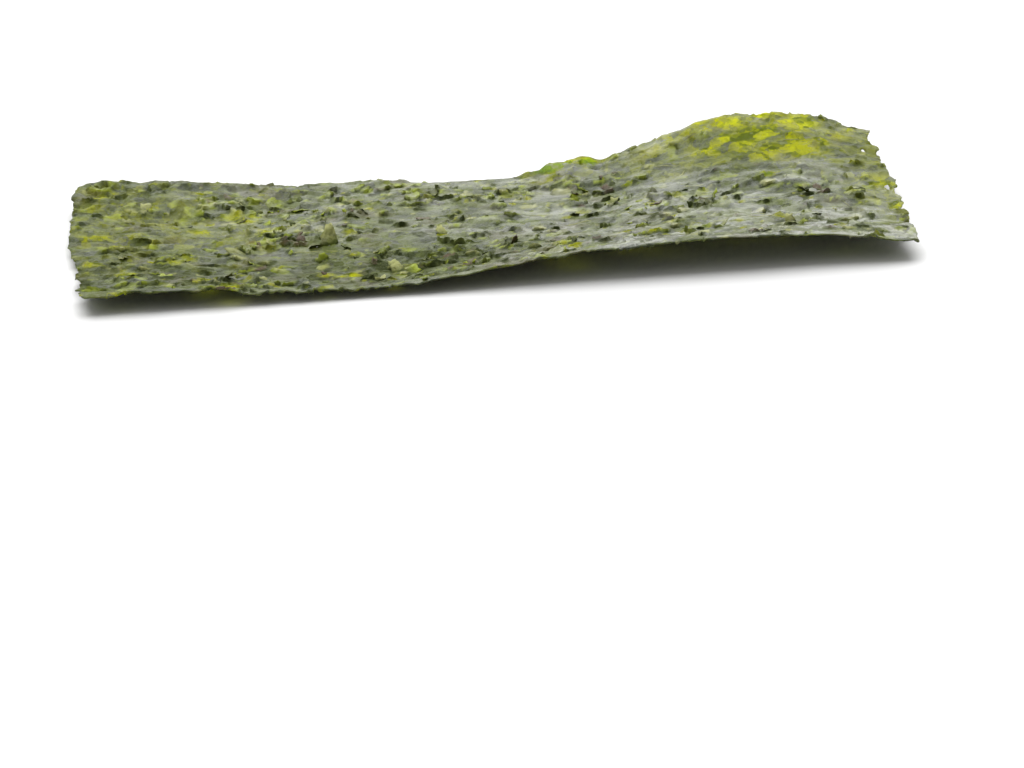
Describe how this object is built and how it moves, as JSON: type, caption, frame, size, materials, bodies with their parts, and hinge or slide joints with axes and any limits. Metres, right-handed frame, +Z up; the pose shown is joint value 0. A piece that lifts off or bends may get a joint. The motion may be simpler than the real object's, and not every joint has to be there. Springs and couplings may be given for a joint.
{
  "type": "nori sheet",
  "caption": "Thin crisp sheet of roasted seaweed, a buckled rectangle with torn short ends, to lie on a plate or table.",
  "frame": {"origin": "under the middle of the sheet's box, on the surface that the sheet lies on", "axes": "+X along the long edges towards the end beside the high hump, +Y from the front long edge to the back one, +Z up"},
  "size_m": [0.0958, 0.0456, 0.006],
  "materials": {
    "seaweed": "oiled, roasted seaweed film: dark olive green with a soft grey sheen and yellow-green thin spots"
  },
  "bodies": {
    "root": {"nori_sheet": "seaweed"}
  },
  "joints": []
}
